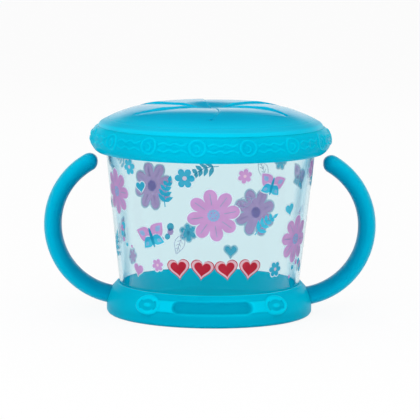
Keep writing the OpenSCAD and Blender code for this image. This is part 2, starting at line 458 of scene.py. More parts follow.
def painted_relief_light_and_shade(tree, centre, radius, shade_colour, share):
    """Paints highlights on what stands proud of a turned arc and shade in its hollows."""
    step = off_arc(tree, centre, radius, MM)
    proud = (0.52, 0), (0.7, share)
    sunk = (0.05, 0), (0.15, share), (0.3, 0.6 * share), (0.48, 0)
    for stops, colour in ((proud, PAINTED_RIDGE_HIGHLIGHT_TEAL), (sunk, shade_colour)):
        blend_colour(tree, ramped(tree, step, stops), colour)


def teal_plastic(name, low, high, roughness, gloss, share=0.6, depth=4 * MM, **more):
    """Translucent teal plastic, in which a share of the light runs a depth below the surface."""
    material = shader(name, Roughness=roughness, IOR=1.45, Specular_IOR_Level=gloss,
                      Subsurface_Weight=share, Subsurface_Scale=depth, Subsurface_Radius=(0.3, 1, 1),
                      Specular_Tint=TEAL_GLOSS, **more)
    mottle(material.node_tree, low, high, 28)
    grain(material.node_tree, 140, 0.04 * MM)
    return material


def ring_plastic():
    """The lid ring's hard teal, with painted highlights on its relief and edges and painted shade in its
    hollows and creases.
    """
    material = teal_plastic("ring_teal", srgb(0, 172, 204), srgb(0, 182, 213), 0.25, 0.02)
    # Painted highlights on edges and painted shade in creases.
    painted_edge_light_and_shade(material.node_tree, 0.15)
    # Painted highlights on the band's relief and painted shade in its hollows.
    painted_relief_light_and_shade(material.node_tree, (SKIRT_MID_R, SKIRT_MID_Z), SKIRT_ROUND, PAINTED_SHADE_TEAL, 0.25)
    return material


def soft_rubber():
    """The lid's soft top: glossy, with a painted reflection that lightens the lower slope so the upper slope
    is darker, a painted highlight along its foot, and painted highlights and shade at the slit edges.
    """
    material = teal_plastic("soft_teal", srgb(0, 164, 203), srgb(0, 173, 211), 0.14, 0.25, 0.25, 0.8 * MM)
    tree = material.node_tree
    feed(tree, principled(tree).inputs["Roughness"], from_axis(tree, ((40, 0.14), (48, 0.34))))
    # Painted highlights along the slit edges and painted shade in creases, kept inside 31 mm.
    painted_edge_light_and_shade(tree, 0.7, from_axis(tree, ((31, 1), (32.5, 0))))
    # Painted reflection: the lower slope is painted lighter than the upper slope.
    blend_colour(tree, from_axis(tree, ((38, 0), (44, 0.7))), srgb(0, 188, 220))
    # Painted highlight: a light line along the foot.
    blend_colour(tree, from_axis(tree, ((47.9, 0), (48.8, 0.5))), srgb(0, 206, 236))
    return material


def base_plastic():
    """The base's teal, with painted highlights on its relief and edges, painted shade in its hollows and
    painted shade towards the table.
    """
    material = teal_plastic("base_teal", srgb(0, 170, 200), srgb(0, 180, 210), 0.3, 0.02,
                            Sheen_Weight=0.2, Sheen_Roughness=0.4, Sheen_Tint=srgb(0, 200, 235))
    tree = material.node_tree
    # Painted highlights on edges and painted shade in creases.
    painted_edge_light_and_shade(tree, 0.3)
    # Painted highlights on the relief and painted shade in its hollows, in the shade colour given here.
    painted_relief_light_and_shade(tree, SIDE_MIDDLE, SIDE_ARC, srgb(0, 150, 184), 0.8)
    # Painted shade: darker towards the table, as contact shade.
    low = from_axis(tree, ((1.5, 0.6), (5.5, 0)), (0, 0, 1))
    blend_colour(tree, low, srgb(0, 146, 178))
    return material


def handle_plastic():
    """The handles' teal, with a painted highlight on the outside of the bend and painted shade on the
    inside, which faces the cup.
    """
    material = teal_plastic("handle_teal", srgb(0, 150, 184), srgb(0, 159, 193), 0.3, 0.08)
    tree = material.node_tree
    side = off_arc(tree, (HANDLE_X, HANDLE_Z), HANDLE_ARC_R, HANDLE_THICK / 2)
    # The next two blends paint a highlight on the outside of the bend and shade on its inside.
    blend_colour(tree, ramped(tree, side, ((0.45, 0), (0.85, 0.8))), srgb(0, 180, 212))
    blend_colour(tree, ramped(tree, side, ((0.25, 0.7), (0.55, 0))), srgb(0, 136, 172))
    return material


def clear_plastic(name, mirrored, cover=1):
    """Clear polypropylene, which lets the lamps reach what is behind it."""
    material = shader(name, Base_Color=CLEAR_TINT, Roughness=0.02, IOR=1.4,
                      Transmission_Weight=1, Specular_Tint=mirrored, Alpha=cover)
    tree = material.node_tree
    grain(tree, 60, 0.02 * MM)
    slant = add_node(tree, "LayerWeight").outputs["Facing"]
    tone = mixed_colour(tree, ramped(tree, slant, ((0.45, 0), (0.9, 0.75))), CLEAR_TINT, CLEAR_SLANT)
    feed(tree, principled(tree).inputs["Base Color"], tone)
    rays = add_node(tree, "LightPath").outputs
    through = add_node(tree, "BsdfTransparent", (0.98, 0.995, 1, 1)).outputs["BSDF"]
    surface = principled(tree).outputs["BSDF"]
    for ray in ("Is Diffuse Ray", "Is Shadow Ray"):
        surface = mixed_shader(tree, rays[ray], surface, through)
    show(tree, surface)
    return material


def painted_glow_foot_plastic():
    """The cup's foot, painted a brighter teal than the base: a painted glow that stands in for the lit,
    translucent base seen through it.
    """
    material = shader("nested_foot_painted_glow", Roughness=0.6, Specular_IOR_Level=0, Alpha=0.7)
    mottle(material.node_tree, srgb(0, 222, 242), srgb(0, 230, 248), 40)
    grain(material.node_tree, 300, 0.05 * MM)
    return material


def ink(name, colour):
    """Printing ink, which lets some of the light behind it through."""
    def tone(shift):
        return srgb(*(min(255, max(0, c + shift)) for c in colour))

    material = shader("ink_" + name, Roughness=0.4, IOR=1.45, Specular_IOR_Level=0.2, Alpha=INK_COVER)
    tree = material.node_tree
    mottle(tree, tone(-4), tone(5), 180)
    grain(tree, 400, 0.01 * MM)
    paler = add_node(tree, "Gamma", principled(tree).inputs["Base Color"].links[0].from_socket, 0.6)
    glow = add_node(tree, "BsdfTranslucent", paler.outputs["Color"]).outputs["BSDF"]
    show(tree, mixed_shader(tree, INK_THROUGH, principled(tree).outputs["BSDF"], glow))
    return material


RING_TEAL = ring_plastic()
SOFT_TEAL = soft_rubber()
BASE_TEAL = base_plastic()
# Painted light: a lighter copy of the base's teal for the well, standing in for light through the
# translucent walls.
PAINTED_LIGHT_WELL_TEAL = teal_plastic("well_teal_painted_light", srgb(0, 222, 244), srgb(0, 228, 248), 0.9, 0)
HANDLE_TEAL = handle_plastic()
CLEAR = clear_plastic("clear_polypropylene", (0.08, 0.2, 0.24, 1))
CLEAR_RIM = clear_plastic("clear_rim", (0.85, 0.97, 1, 1), 0.55)
PAINTED_GLOW_FOOT = painted_glow_foot_plastic()
INK_COLOURS = {
    "lilac": (213, 145, 206),
    "sky": (146, 198, 232),
    "teal": (14, 168, 202),
    "aqua": (44, 196, 226),
    "red": (192, 36, 60),
    "pale": (244, 214, 226),
    "line": (150, 168, 196),
    "halo": (226, 244, 249),
}
INKS = {name: ink(name, colour) for name, colour in INK_COLOURS.items()}


# ---- cup

def make_cup():
    """The cup's wall, floor and rolled rim."""
    bead_z = CUP_RIM_Z - RIM_BEAD
    inner_rim = CUP_RIM_Z - 0.4 * MM
    collar_z = bead_z - 2 * RIM_BEAD
    floor_top = CUP_FOOT_Z + CUP_FLOOR
    nested_z = BASE_TOP - 0.3 * MM
    corners = [
        (0, CUP_FOOT_Z + FOOT_HOLLOW, 0),
        (CUP_FOOT_R - FOOT_LAND - FOOT_HOLLOW, CUP_FOOT_Z + FOOT_HOLLOW, 0.3 * MM),
        (CUP_FOOT_R - FOOT_LAND, CUP_FOOT_Z, 0.3 * MM),
        (CUP_FOOT_R, CUP_FOOT_Z, FOOT_ROUND),
    ]
    corners += [(cup_r(z), z, 0) for z in (nested_z, collar_z, bead_z - RIM_BEAD)]
    outline = rounded(corners)[:-1]
    outline += arc((cup_r(bead_z), bead_z), RIM_BEAD, -84, 90, 14)
    outline += rounded([(cup_r(bead_z), CUP_RIM_Z, 0), (bore_r(inner_rim), inner_rim + 0.3 * MM, 0.5 * MM),
                        (bore_r(collar_z), collar_z, 0), (bore_r(nested_z), nested_z, 0),
                        (bore_r(floor_top), floor_top, 1.4 * MM), (0, floor_top, 0)])[1:]
    cup = lathe("cup_wall", split(outline, 8 * MM), CLEAR, even_angles(240))
    # The cup's foot below the base's top takes a painted glow of the lit base's teal.
    cup.data.materials.append(PAINTED_GLOW_FOOT)
    cup.data.materials.append(CLEAR_RIM)
    for face in cup.data.polygons:
        if face.center.z < nested_z:
            face.material_index = 1
        elif face.center.z > collar_z:
            face.material_index = 2
    place(cup, "container", "clear_cup", "cup")


# ---- base

PANEL_HALF = 17.6 * MM  # along the skirt, from the hollow's middle to its end
PANEL_HEIGHT = 5 * MM
PANEL_Z = 8.8 * MM
PANEL_DEPTH = 0.7 * MM
PANEL_TURN = math.radians(1.9)  # how far the moulded front is turned to the right
RELIEF = 0.7 * MM
RELIEF_LINE = 1.5 * MM
BADGE_ALONG = 30.6 * MM  # to the middle of the oval beside the hollow
BADGE_WIDE = 6.4 * MM
BADGE_HIGH = 3.9 * MM
BAR_HEIGHT = PANEL_HEIGHT - 0.6 * MM  # of the raised bar from the oval to the hollow
BAR_GAP = 0.7 * MM
STUD_HIGH = 0.8 * MM  # half the height of the stud in the oval
STUD_STRETCH = 2.2
EDGE = 0.5 * MM  # over which a moulded step rises
HOLLOW_TOP = 30  # degrees round the skirt's arc, where the hollow behind it ends
FRONT_SPREAD = 54  # degrees to each side of the front that have small faces
FRONT_FACES = 148
REST_FACES = 128


def base_front(r, z):
    """Whether a point of the outline is on the skirt's outside, where it has relief."""
    off_side = math.hypot(r - SIDE_MIDDLE[0], z - SIDE_MIDDLE[1]) - SIDE_ARC
    return abs(off_side) < 0.1 * MM and 4 * MM < z < BASE_TOP - 0.6 * MM


def base_relief(angle, r, z):
    """The shallow hollow in the front of the skirt and the raised ovals beside it."""
    along = abs((angle + math.pi / 2 - PANEL_TURN + math.pi) % TAU - math.pi) * BASE_R
    up = z - PANEL_Z
    if along > BADGE_ALONG + 2 * BADGE_WIDE:
        return 0
    from_badge = along - BADGE_ALONG
    half = PANEL_HALF - PANEL_HEIGHT / 2
    to_panel = math.hypot(max(0, along - half), up) - PANEL_HEIGHT / 2
    oval = math.hypot(from_badge / BADGE_WIDE, up / BADGE_HIGH)
    to_oval = (oval - 1) * (BADGE_HIGH if abs(up) > abs(from_badge) / 2 else BADGE_WIDE)
    line = abs(to_oval + RELIEF_LINE / 2) - RELIEF_LINE / 2
    bar = max(abs(up) - BAR_HEIGHT / 2, from_badge, -to_oval, BAR_GAP - to_panel)
    stud = math.hypot(from_badge / STUD_STRETCH, up) - STUD_HIGH
    lift = RELIEF * smooth_step(EDGE, -EDGE, min(line, bar))
    lift = max(lift, 0.7 * RELIEF * smooth_step(EDGE, -EDGE, stud))
    return lift - PANEL_DEPTH * smooth_step(EDGE, -EDGE, to_panel)


def base_outline():
    """The base's section, from its toe over the cup's seat to the hollow in the skirt."""
    side_end = math.degrees(math.asin(SIDE_RISE / SIDE_ARC))
    holder = CUP_FOOT_R + CUP_FIT
    outline = arc((BASE_R - BASE_TOE, BASE_TOE), BASE_TOE, -90, 0, 8)
    outline += arc(SIDE_MIDDLE, SIDE_ARC, 0, side_end, 40)
    outline += rounded([(LIP_R, BASE_TOP - LIP_DROP, 0), (LIP_R - 0.1 * MM, BASE_TOP, 0.5 * MM),
                        (cup_r(BASE_TOP) + CUP_FIT, BASE_TOP, 0.5 * MM), (holder, CUP_FOOT_Z, 0)])[1:-1]
    outline += [(holder, CUP_FOOT_Z), (0, CUP_FOOT_Z), (0, BASE_RECESS)]
    inner_arc = arc(SIDE_MIDDLE, SIDE_ARC - BASE_WALL, HOLLOW_TOP, 0, 8)
    roof_z = inner_arc[0][1]
    outline += rounded([(0, BASE_RECESS, 0), (holder + HOLDER_WALL, BASE_RECESS, 0.4 * MM),
                        (cup_r(roof_z) + CUP_FIT + HOLDER_WALL, roof_z, 0.4 * MM), (*inner_arc[0], 0)])[1:-1]
    return outline + inner_arc + [(BASE_R - BASE_TOE - FOOT_RING, 0)]


def make_base():
    """The base's skirt, lip, floor and underside."""
    front = [math.radians(FRONT_SPREAD * (k / FRONT_FACES) - 90) for k in range(-FRONT_FACES, FRONT_FACES)]
    rest_spread = 360 - 2 * FRONT_SPREAD
    rest = [math.radians(FRONT_SPREAD - 90 + rest_spread * (k / REST_FACES)) for k in range(REST_FACES)]
    outline = split(base_outline(), 3 * MM)
    base = lathe("base_shell", outline, BASE_TEAL, front + rest, base_relief, base_front)
    # The well inside the holder takes the painted-light teal.
    base.data.materials.append(PAINTED_LIGHT_WELL_TEAL)
    for face in base.data.polygons:
        r, z = math.hypot(*face.center.xy), face.center.z
        if r < cup_r(z) + CUP_FIT and z > CUP_FOOT_Z - EDGE:
            face.material_index = 1
    place(base, "container", "teal_base", "base")


# ---- handles

BAR_FACES = 40  # round the bar
BAR_STEPS = 90  # along it
TIP_STEPS = 10
TIP_CLOSE = 0.999  # how far the tip draws in; 1 would close it to a line


def bar_ring(side, angle, inset=0):
    """Points round a handle's bar at an angle of its arc, drawn in by an inset."""
    out = Vector((math.cos(angle), 0, math.sin(angle)))
    middle = Vector((HANDLE_X, 0, HANDLE_Z)) + out * HANDLE_ARC_R
    points = []
    for turn in even_angles(BAR_FACES):
        c, s = math.cos(turn), math.sin(turn)
        squared = 1 / (abs(c) ** HANDLE_SQUARE + abs(s) ** HANDLE_SQUARE) ** (1 / HANDLE_SQUARE)
        point = middle + out * (c * squared * (HANDLE_THICK - inset) / 2)
        point += Vector((0, s * squared * (HANDLE_WIDTH - inset) / 2, 0))
        points.append(Vector((side * point.x, point.y, point.z)))
    return points


def make_handle(name, side):
    """One handle: an oval bar swept round an arc, with a rounded tip."""
    rows = [bar_ring(side, -HANDLE_ROOT + (HANDLE_TIP + HANDLE_ROOT) * i / BAR_STEPS)
            for i in range(BAR_STEPS + 1)]
    for i in range(1, TIP_STEPS + 1):
        lean = math.pi / 2 * i / TIP_STEPS
        angle = HANDLE_TIP + HANDLE_THICK / 2 * math.sin(lean) / HANDLE_ARC_R
        rows.append(bar_ring(side, angle, HANDLE_THICK * (1 - math.cos(lean)) * TIP_CLOSE))
    verts = [p for row in rows for p in row]
    last = (len(rows) - 1) * BAR_FACES
    faces = []
    for start in range(0, last, BAR_FACES):
        for k in range(BAR_FACES):
            n = (k + 1) % BAR_FACES
            faces.append((start + k, start + n, start + BAR_FACES + n, start + BAR_FACES + k))
    faces.append(tuple(range(BAR_FACES)))
    faces.append(tuple(last + k for k in range(BAR_FACES)))
    handle = add_mesh(name + "_bar", verts, faces, HANDLE_TEAL)
    weld(handle)
    place(handle, "container", "teal_handles", name)


# ---- lid ring

BAND_RINGS = 15
BAND_TURN = math.radians(-96.2)  # where one of them stands
BAND_RING_R = 3.9 * MM
BAND_RING_UP = 1.5 * MM  # above the middle of the band
BAND_LINE = 0.9 * MM
BAND_RELIEF = 0.38 * MM
BAND_DEEP = 2.9 * MM  # how far in from the lid's widest the relief may reach
BAND_SHY = 2  # degrees that the bulge's small faces stop short of its ends
CURL_R = 1.5 * MM  # the open curl inside a ring
CURL_LINE = 0.6 * MM
CURL_CUT = 0.8 * MM  # left of a ring's middle, where its curl stops
WAVE_HIGH = 0.45 * MM
WAVE_LONG = 0.9 * MM
RIDGE_UP = 1.2 * MM  # the wavy ridges, above and below the rings' middles
RIDGE_DOWN = 1.6 * MM
RIDGE_LINE = 0.7 * MM
RIDGE_GAP = 0.8 * MM  # from a ring to the ends of the ridges


def band_face(r, z):
    """Whether a point of the outline lies on the outside of the band."""
    outside = math.hypot(r - SKIRT_MID_R, z - SKIRT_MID_Z) > SKIRT_ROUND - 0.1 * MM
    return outside and r > LID_R - BAND_DEEP


def band_relief(angle, r, z):
    """Embossed rings round the lid's band, with wavy ridges between them."""
    pitch = TAU / BAND_RINGS
    along = ((angle - BAND_TURN + pitch / 2) % pitch - pitch / 2) * LID_R
    up = math.asin(max(-1, min(1, (z - SKIRT_MID_Z) / SKIRT_ROUND))) * SKIRT_ROUND - BAND_RING_UP
    reach = math.hypot(along, up)
    ring = abs(reach - BAND_RING_R + BAND_LINE / 2) - BAND_LINE / 2
    curl = abs(math.hypot(along + 0.5 * MM, up + 0.4 * MM) - CURL_R) - CURL_LINE / 2
    curl = max(curl, -along - CURL_CUT)
    wave = WAVE_HIGH * math.sin(along / WAVE_LONG)
    ridges = min(abs(up - RIDGE_UP - wave), abs(up + RIDGE_DOWN + wave)) - RIDGE_LINE / 2
    ridges = max(ridges, BAND_RING_R + RIDGE_GAP - reach)
    fade = smooth_step(SKIRT_ROUND * 1.05, SKIRT_ROUND * 0.95, abs(up + BAND_RING_UP))
    return BAND_RELIEF * fade * smooth_step(0.45 * MM, -0.35 * MM, min(ring, curl, ridges))


def make_lid_ring():
    """The lid's ring: the bulging skirt, the flange and the plug that goes in the cup."""
    lug_r = cup_r(CUP_RIM_Z - RIM_BEAD) + RIM_BEAD + CUP_FIT
    flange_bottom = FLANGE_Z - FLANGE_THICK
    plug_bottom = flange_bottom - PLUG_DEPTH
    plug_r = bore_r(flange_bottom) - PLUG_FIT
    end = math.degrees(math.asin((FLANGE_Z - SKIRT_MID_Z) / SKIRT_ROUND)) - BAND_SHY
    inner = SKIRT_ROUND - SKIRT_WALL
    inner_top = math.degrees(math.asin((flange_bottom - SKIRT_MID_Z) / inner))
    inner_low = -math.degrees(math.acos((lug_r - SKIRT_MID_R) / inner))
    middle = (SKIRT_MID_R, SKIRT_MID_Z)
    outline = arc(middle, SKIRT_ROUND, -end, end, 46)
    outline += [(FOOT_R, FLANGE_Z), (FOOT_R - MM, FLANGE_Z), (plug_r - PLUG_WALL, FLANGE_Z)]
    outline += [(plug_r - PLUG_WALL, plug_bottom), (plug_r - 0.5 * MM, plug_bottom), (plug_r, flange_bottom)]
    outline += arc(middle, inner, inner_top, inner_low, 16)
    outline += [(lug_r, LIP_Z + 0.3 * MM), (lug_r + 0.3 * MM, LIP_Z)]
    ring = lathe("lid_band", split(outline, 2 * MM), RING_TEAL, even_angles(1080), band_relief, band_face, 6)
    place(ring, "lid", "teal_lid", "lid_ring")


# ---- soft top and flaps

DOME_FACES = 360  # round the dome
DOME_ROWS = 24
DOME_CROWD = 1.6  # above 1, the rows lie closer towards the dome's foot
FLAP_ROWS = 56
FLAP_COLUMNS = 18  # between the narrow ones beside a flap's edges
NEAR_EDGE = (0, 0.06, 0.14, 0.24, 0.4)  # millimetres from a flap's edge
ROOT_OUT = 1.2 * MM  # how far a flap's sheet runs outside its hinge line
HOLE_R = 0.9 * MM  # round end of a slit
SLIT_HALF = 0.05 * MM
CENTRE_R = 0.9 * MM  # the small hole where the slits meet
EDGE_ROUND = 0.4 * MM
FOOT_BEVEL = 1.3 * MM
# How far each flap's clockwise edge, other edge and tip stand off the dome, in millimetres.
LIFTS = [(0, -0.8, -1.5), (0.3, -0.8, -1.3), (0.4, -0.2, -1.2),
         (0.3, 0.4, -1.3), (-0.8, 0.3, -1.2), (-0.8, -0.45, -1.6)]
CORNER_R = (HINGE_R + ROOT_OUT) / math.cos(HALF_ANGLE)


def root_r(angle):
    """Distance from the middle to the straight root of the flap at an angle."""
    turn = (angle + math.pi / 2) % (2 * HALF_ANGLE) - HALF_ANGLE
    return (HINGE_R + ROOT_OUT) / math.cos(turn)


def make_soft_top():
    """The soft dome outside the flaps, with its foot on the ring."""
    top, bottom = [], []
    for i in range(DOME_ROWS + 1):
        share = 1 - (1 - i / DOME_ROWS) ** DOME_CROWD
        upper, lower = [], []
        for angle in even_angles(DOME_FACES) + [0]:
            start = root_r(angle)
            r = start + (FOOT_R - start) * share
            x, y, z = r * math.cos(angle), r * math.sin(angle), dome_z(r)
            bevel = max(0, r - FOOT_R + FOOT_BEVEL) / FOOT_BEVEL
            upper.append((x, y, z - FOOT_STEP * bevel ** 2))
            lower.append((x, y, max(FLANGE_Z, z - SOFT_WALL)))
        top.append(upper)
        bottom.append(lower)
    dome = grid_shell("soft_dome", top, bottom, SOFT_TEAL, ring=True)
    place(dome, "lid", "soft_teal", "soft_top")


def slit_half_width(r):
    """Half the width of a slit at a distance from the middle, with its round end."""
    hole_at = SLIT_R - HOLE_R / 2
    beyond = abs(r - hole_at)
    hole = math.sqrt(HOLE_R ** 2 - beyond ** 2) if beyond < HOLE_R else 0
    return max(hole, SLIT_HALF if r < hole_at else 0)


def slit_point(r, side):
    """A point on one side of a flap, in the flap's own frame, where +X points outwards."""
    bow = SLIT_BOW * math.sin(math.pi * min(1, r / SLIT_R))
    angle = side * HALF_ANGLE + bow
    aside = Vector((-math.sin(angle), math.cos(angle)))
    return Vector((r * math.cos(angle), r * math.sin(angle))) - aside * side * slit_half_width(r)


def across_flap(width):
    """Places across a flap from 0 to 1, closer together beside its edges."""
    near = [min(0.5, distance * MM / width) if width > 0 else 0.5 for distance in NEAR_EDGE]
    middle = [near[-1] + (1 - 2 * near[-1]) * k / FLAP_COLUMNS for k in range(1, FLAP_COLUMNS)]
    return near + middle + [1 - at for at in reversed(near)]


def make_flap(name, index):
    """One flap, curled a little so that its edges lie at different heights."""
    turn = Matrix.Rotation((2 * index + 1) * HALF_ANGLE - math.pi / 2, 3, "Z")
    clockwise, other, tip = LIFTS[index]
    top, bottom = [], []
    for i in range(FLAP_ROWS + 1):
        share = i / FLAP_ROWS
        r = CORNER_R + (CENTRE_R - CORNER_R) * share
        left, right = slit_point(r, -1), slit_point(r, 1)
        width = (right - left).length
        body = math.sin(math.pi * min(1, share)) ** 1.3
        tip_lift = tip * smooth_step(0.6, 1, share)
        fade = smooth_step(0, 2 * MM, CORNER_R - r)
        upper, lower = [], []
        for t in across_flap(width):
            spot = left.lerp(right, t)
            edges = clockwise * (1 - t) ** 2 + other * t ** 2
            z = min(CREST_Z, dome_z(spot.length) + (edges * body + tip_lift) * MM)
            slope = max(0, EDGE_ROUND - min(t, 1 - t) * width)
            drop = EDGE_ROUND - math.sqrt(EDGE_ROUND ** 2 - slope ** 2)
            upper.append(turn @ Vector((spot.x, spot.y, z - drop * fade)))
            lower.append(turn @ Vector((spot.x, spot.y, z - SOFT_WALL)))
        top.append(upper)
        bottom.append(lower)
    petal = grid_shell(name + "_petal", top, bottom, SOFT_TEAL)
    place(petal, "lid", "soft_teal", name)
    petal.parent = None  # the flap is left without a parent
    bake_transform(petal)


# ---- printed design

PRINT_LIFT = 0.06 * MM  # from the cup's wall to the first layer of ink
PRINT_LAYER = 0.035 * MM
HALO = 0.45  # millimetres of pale line round a shape


class Design:
    """Flat shapes in millimetres, wrapped on the cup's wall, one mesh for each ink.

    where is a shape's angle round the cup, its height and its own turn.
    """

    def __init__(self):
        self.verts = {ink_name: [] for ink_name in INKS}
        self.faces = {ink_name: [] for ink_name in INKS}

    def wrap(self, spot, angle, height, turn, layer):
        """A flat point round (angle, height), turned, on the cup's wall."""
        c, s = math.cos(turn), math.sin(turn)
        x = (spot[0] * c - spot[1] * s) * MM
        y = (spot[0] * s + spot[1] * c) * MM
        z = height * MM + y * math.cos(CUP_DRAFT)
        r = cup_r(z) + PRINT_LIFT + layer * PRINT_LAYER
        a = angle + x / cup_r(height * MM)
        return (r * math.sin(a), -r * math.cos(a), z)

    def fill(self, ink_name, outline, where, layer=0, centre=(0, 0), rings=4):
        """A filled shape that can be seen whole from its centre."""
        verts, faces = self.verts[ink_name], self.faces[ink_name]
        start, count = len(verts), len(outline)
        if sum(a[0] * b[1] - b[0] * a[1] for a, b in zip(outline, outline[1:] + outline[:1])) < 0:
            outline = outline[::-1]
        verts.append(self.wrap(centre, *where, layer))
        for ring in range(1, rings + 1):
            for x, y in outline:
                spot = (centre[0] + (x - centre[0]) * ring / rings,
                        centre[1] + (y - centre[1]) * ring / rings)
                verts.append(self.wrap(spot, *where, layer))
        for k in range(count):
            n = (k + 1) % count
            faces.append((start, start + 1 + k, start + 1 + n))
            for ring in range(rings - 1):
                a = start + 1 + ring * count
                faces.append((a + k, a + count + k, a + count + n, a + n))

    def haloed(self, ink_name, outline, where, layer=0, centre=(0, 0), rings=4):
        """A filled shape with a pale line under its edge."""
        self.line("halo", outline, 2 * HALO, where, layer, closed=True)
        self.fill(ink_name, outline, where, layer + 1, centre, rings)

    def line(self, ink_name, path, width, where, layer=0, closed=False):
        """A line of even width along a path."""
        verts, faces = self.verts[ink_name], self.faces[ink_name]
        start, count = len(verts), len(path)
        for i, (x, y) in enumerate(path):
            before = path[i - 1] if closed or i else path[i]
            after = path[(i + 1) % count] if closed or i < count - 1 else path[i]
            dx, dy = after[0] - before[0], after[1] - before[1]
            size = math.hypot(dx, dy) or 1
            for side in (-1, 1):
                spot = (x - side * dy / size * width / 2, y + side * dx / size * width / 2)
                verts.append(self.wrap(spot, *where, layer))
        for i in range(count if closed else count - 1):
            a, b = start + 2 * i, start + 2 * ((i + 1) % count)
            faces.append((a, b, b + 1, a + 1))

    def build(self):
        """One thin mesh for each ink that was used."""
        for ink_name, verts in self.verts.items():
            if verts:
                obj = add_mesh("print_" + ink_name, verts, self.faces[ink_name], INKS[ink_name])
                place(obj, "container", "clear_cup")


def polar(reach, angle, centre=(0, 0)):
    """The flat point at a distance and an angle from a centre."""
    return (centre[0] + reach * math.cos(angle), centre[1] + reach * math.sin(angle))


def middle_of(points):
    """The mean of some points."""
    return tuple(sum(values) / len(points) for values in zip(*points))


def round_shape(radius, wave=0, lobes=0, sharpness=1.0, stretch=1.0, count=72, centre=(0, 0)):
    """An oval whose edge can run in and out in lobes."""
    points = []
    for a in even_angles(count):
        lobe = abs(math.cos(lobes * a / 2)) ** sharpness if lobes else 1
        x, y = polar(radius * (1 - wave + wave * lobe), a)
        points.append((x * stretch + centre[0], y + centre[1]))
    return points


def heart_shape(size):
    """A heart about twice its size across."""
    points = []
    for a in even_angles(48):
        x = 16 * math.sin(a) ** 3
        y = 13 * math.cos(a) - 5 * math.cos(2 * a) - 2 * math.cos(3 * a) - math.cos(4 * a)
        points.append((x * size / 16, y * size / 16))
    return points


def leaf_shape(length, width, start=(0, 0), turn=0):
    """A pointed leaf that grows from a start."""
    along = [k / 24 for k in range(25)]
    edge = [(length * q, width / 2 * math.sin(math.pi * q ** 0.8)) for q in along]
    edge += [(x, -y) for x, y in reversed(edge[1:-1])]
    c, s = math.cos(turn), math.sin(turn)
    return [(start[0] + x * c - y * s, start[1] + x * s + y * c) for x, y in edge]


def daisy(design, where, size, ink_name):
    """A big daisy with eight petals, a pale eye and a fine line along each petal."""
    design.haloed(ink_name, round_shape(size, 0.42, 8, 0.55, count=160), where, 0, rings=7)
    for a in even_angles(8):
        design.line("line", [polar(size * q, a) for q in (0.4, 0.55, 0.7, 0.84)], 0.35, where, 2)
    design.fill("sky", round_shape(size * 0.24, 0.12, 12, 1), where, 3)
    for a in even_angles(6):
        dot = round_shape(0.35, count=12, centre=polar(size * 0.12, a))
        design.fill(ink_name, dot, where, 4, middle_of(dot), 1)


def butterfly(design, where, size, ink_name):
    """A simple butterfly with four wings."""
    wings = (0.6, size, ink_name), (-0.55, 0.72 * size, "aqua")
    for side in (-1, 1):
        for layer, (tilt, reach, wing_ink) in enumerate(wings):
            turn = tilt if side > 0 else math.pi - tilt
            wing = leaf_shape(reach, reach * 0.72, (0, 0), turn)
            design.haloed(wing_ink, wing, where, layer, middle_of(wing))
            spot = leaf_shape(reach * 0.4, reach * 0.26, polar(reach * 0.42, turn), turn)
            design.fill("sky", spot, where, 3, middle_of(spot), 1)
    body = [(y, x) for x, y in round_shape(size * 0.09, stretch=5.5, count=28)]
    design.fill("teal", body, where, 4)


def sprig(design, where, size, ink_name):
    """A bowed stem with paired leaves and one at its tip."""
    def stem(q):
        return (size * q, 0.22 * size * math.sin(2.2 * q))

    def leaf(*shape):
        blade = leaf_shape(*shape)
        design.fill(ink_name, blade, where, 0, middle_of(blade), 2)

    design.line(ink_name, [stem(k / 10) for k in range(11)], 0.5, where, 0)
    for k, share in enumerate((0.2, 0.42, 0.64, 0.86)):
        for side in (-1, 1):
            leaf(size * (0.42 - 0.06 * k), size * 0.17, stem(share), side * 0.9 + 0.2)
    leaf(size * 0.3, size * 0.15, stem(1), 0.1)


def blossom(design, where, size, ink_name):
    """A small flower with six round petals."""
    design.haloed(ink_name, round_shape(size, 0.4, 6, 0.6, count=96), where, 0)
    design.fill("pale", round_shape(size * 0.22, count=20), where, 2, rings=1)


def heart(design, where, size, ink_name):
    """A small plain heart."""
    design.haloed(ink_name, heart_shape(size), where, 0)


def rimmed_heart(design, where, size, ink_name):
    """A heart with a pale rim and a thin line round it."""
    for layer, (name, grown) in enumerate(((ink_name, 1.42), ("pale", 1.3), (ink_name, 1))):
        design.fill(name, heart_shape(size * grown), where, layer)


def bubbles(design, where, size, ink_name):
    """A loose arc of dots that get smaller."""
    for k in range(6):
        centre = polar(size * (0.35 + 0.13 * k), 0.5 * k)
        dot = round_shape(size * (0.2 - 0.022 * k), count=20, centre=centre)
        design.fill(ink_name if k % 2 == 0 else "lilac", dot, where, 0, middle_of(dot), 1)


def outline_leaf(design, where, size, ink_name):
    """A leaf drawn in thin lines."""
    design.line(ink_name, leaf_shape(size, size * 0.5), 0.3, where, 0, closed=True)
    design.line(ink_name, [(-size * 0.3, 0), (size * 0.5, 0), (size * 0.92, 0)], 0.3, where, 0)
    for share in (0.25, 0.45, 0.65):
        for side in (-1, 1):
            vein = [(size * share, 0), (size * (share + 0.14), side * size * 0.13)]
            design.line(ink_name, vein, 0.25, where, 0)


